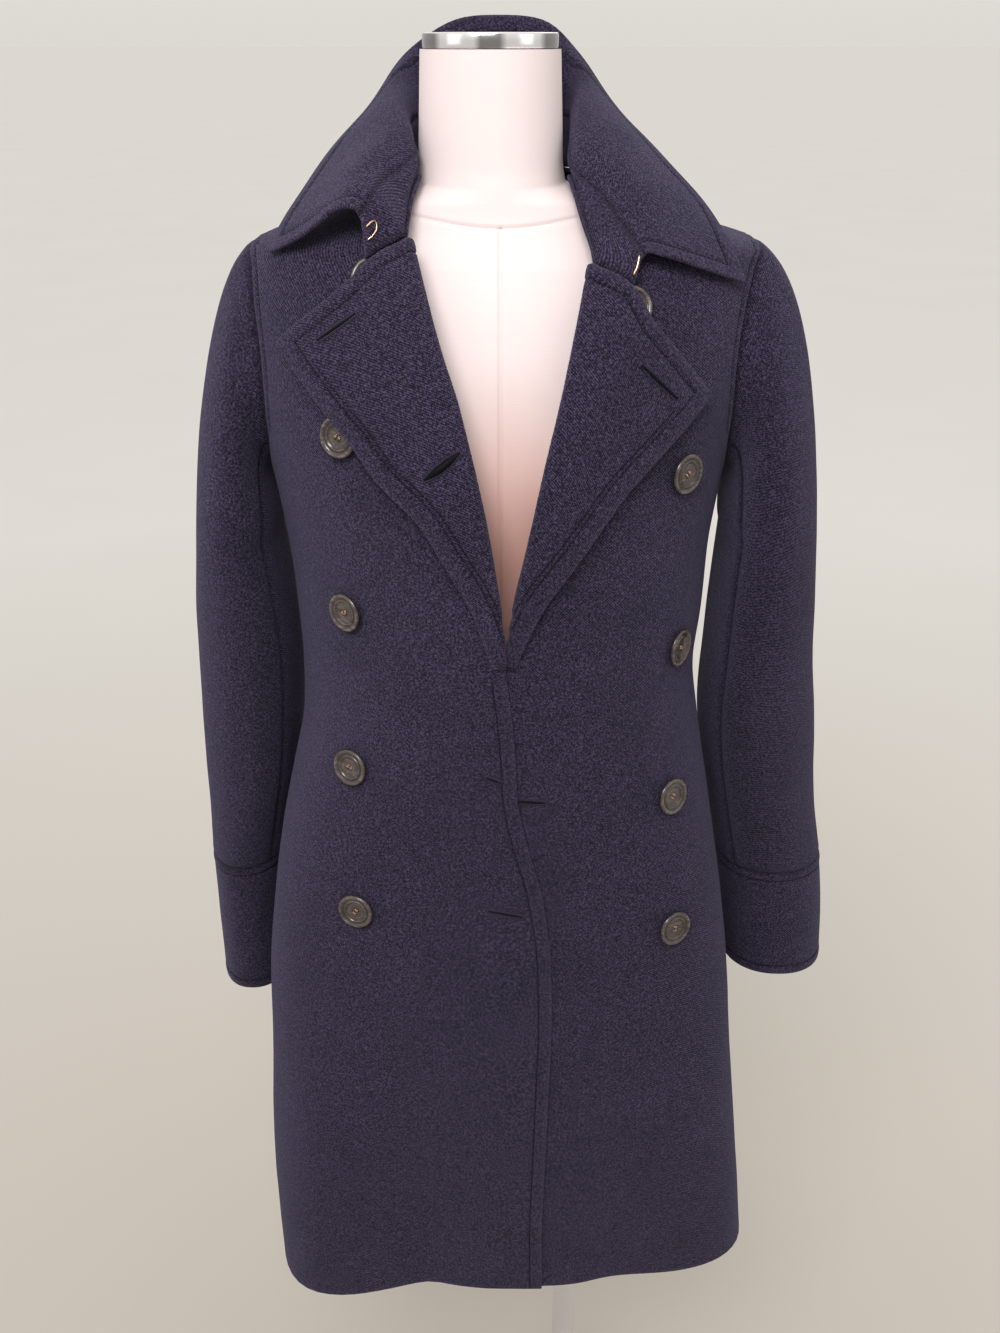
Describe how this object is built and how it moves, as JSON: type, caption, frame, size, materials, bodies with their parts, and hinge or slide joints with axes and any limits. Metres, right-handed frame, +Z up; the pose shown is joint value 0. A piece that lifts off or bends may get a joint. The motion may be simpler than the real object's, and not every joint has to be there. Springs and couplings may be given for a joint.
{
  "type": "double-breasted wool coat on a limbless dress form",
  "caption": "Knee-length wool coat with wide lapels, an upturned collar and cuff bands, worn open on a limbless dress form with a pole and a round base plate.",
  "frame": {"origin": "on the floor under the dress form, on the underside of the base plate", "axes": "+Z up, the coat's front faces -Y, the wearer's left is +X"},
  "size_m": [0.5961, 0.3086, 1.5115],
  "materials": {
    "navy_wool": "dense milled navy wool twill, matt with a faint fuzz",
    "form_jersey": "smooth off-white stretch jersey",
    "polished_steel": "polished steel",
    "button_horn": "grey-brown horn look, satin polish",
    "brass_wire": "bare wire"
  },
  "bodies": {
    "root": {"back_left": "navy_wool", "back_right": "navy_wool", "button_left_1": "button_horn", "button_left_2": "button_horn", "button_left_3": "button_horn", "button_left_4": "button_horn", "button_left_5": "button_horn", "button_right_1": "button_horn", "button_right_2": "button_horn", "button_right_3": "button_horn", "button_right_4": "button_horn", "button_right_5": "button_horn", "collar_eye": "brass_wire", "collar_fall": "navy_wool", "collar_hook": "brass_wire", "collar_stand": "navy_wool", "cuff_left": "navy_wool", "cuff_right": "navy_wool", "form_torso": "form_jersey", "front_left": "navy_wool", "front_right": "navy_wool", "half_belt": "navy_wool", "lapel_left": "navy_wool", "lapel_right": "navy_wool", "neck_cap": "polished_steel", "sleeve_top_left": "navy_wool", "sleeve_top_right": "navy_wool", "sleeve_under_left": "navy_wool", "sleeve_under_right": "navy_wool", "stand_base": "polished_steel", "stand_pole": "polished_steel"}
  },
  "joints": []
}
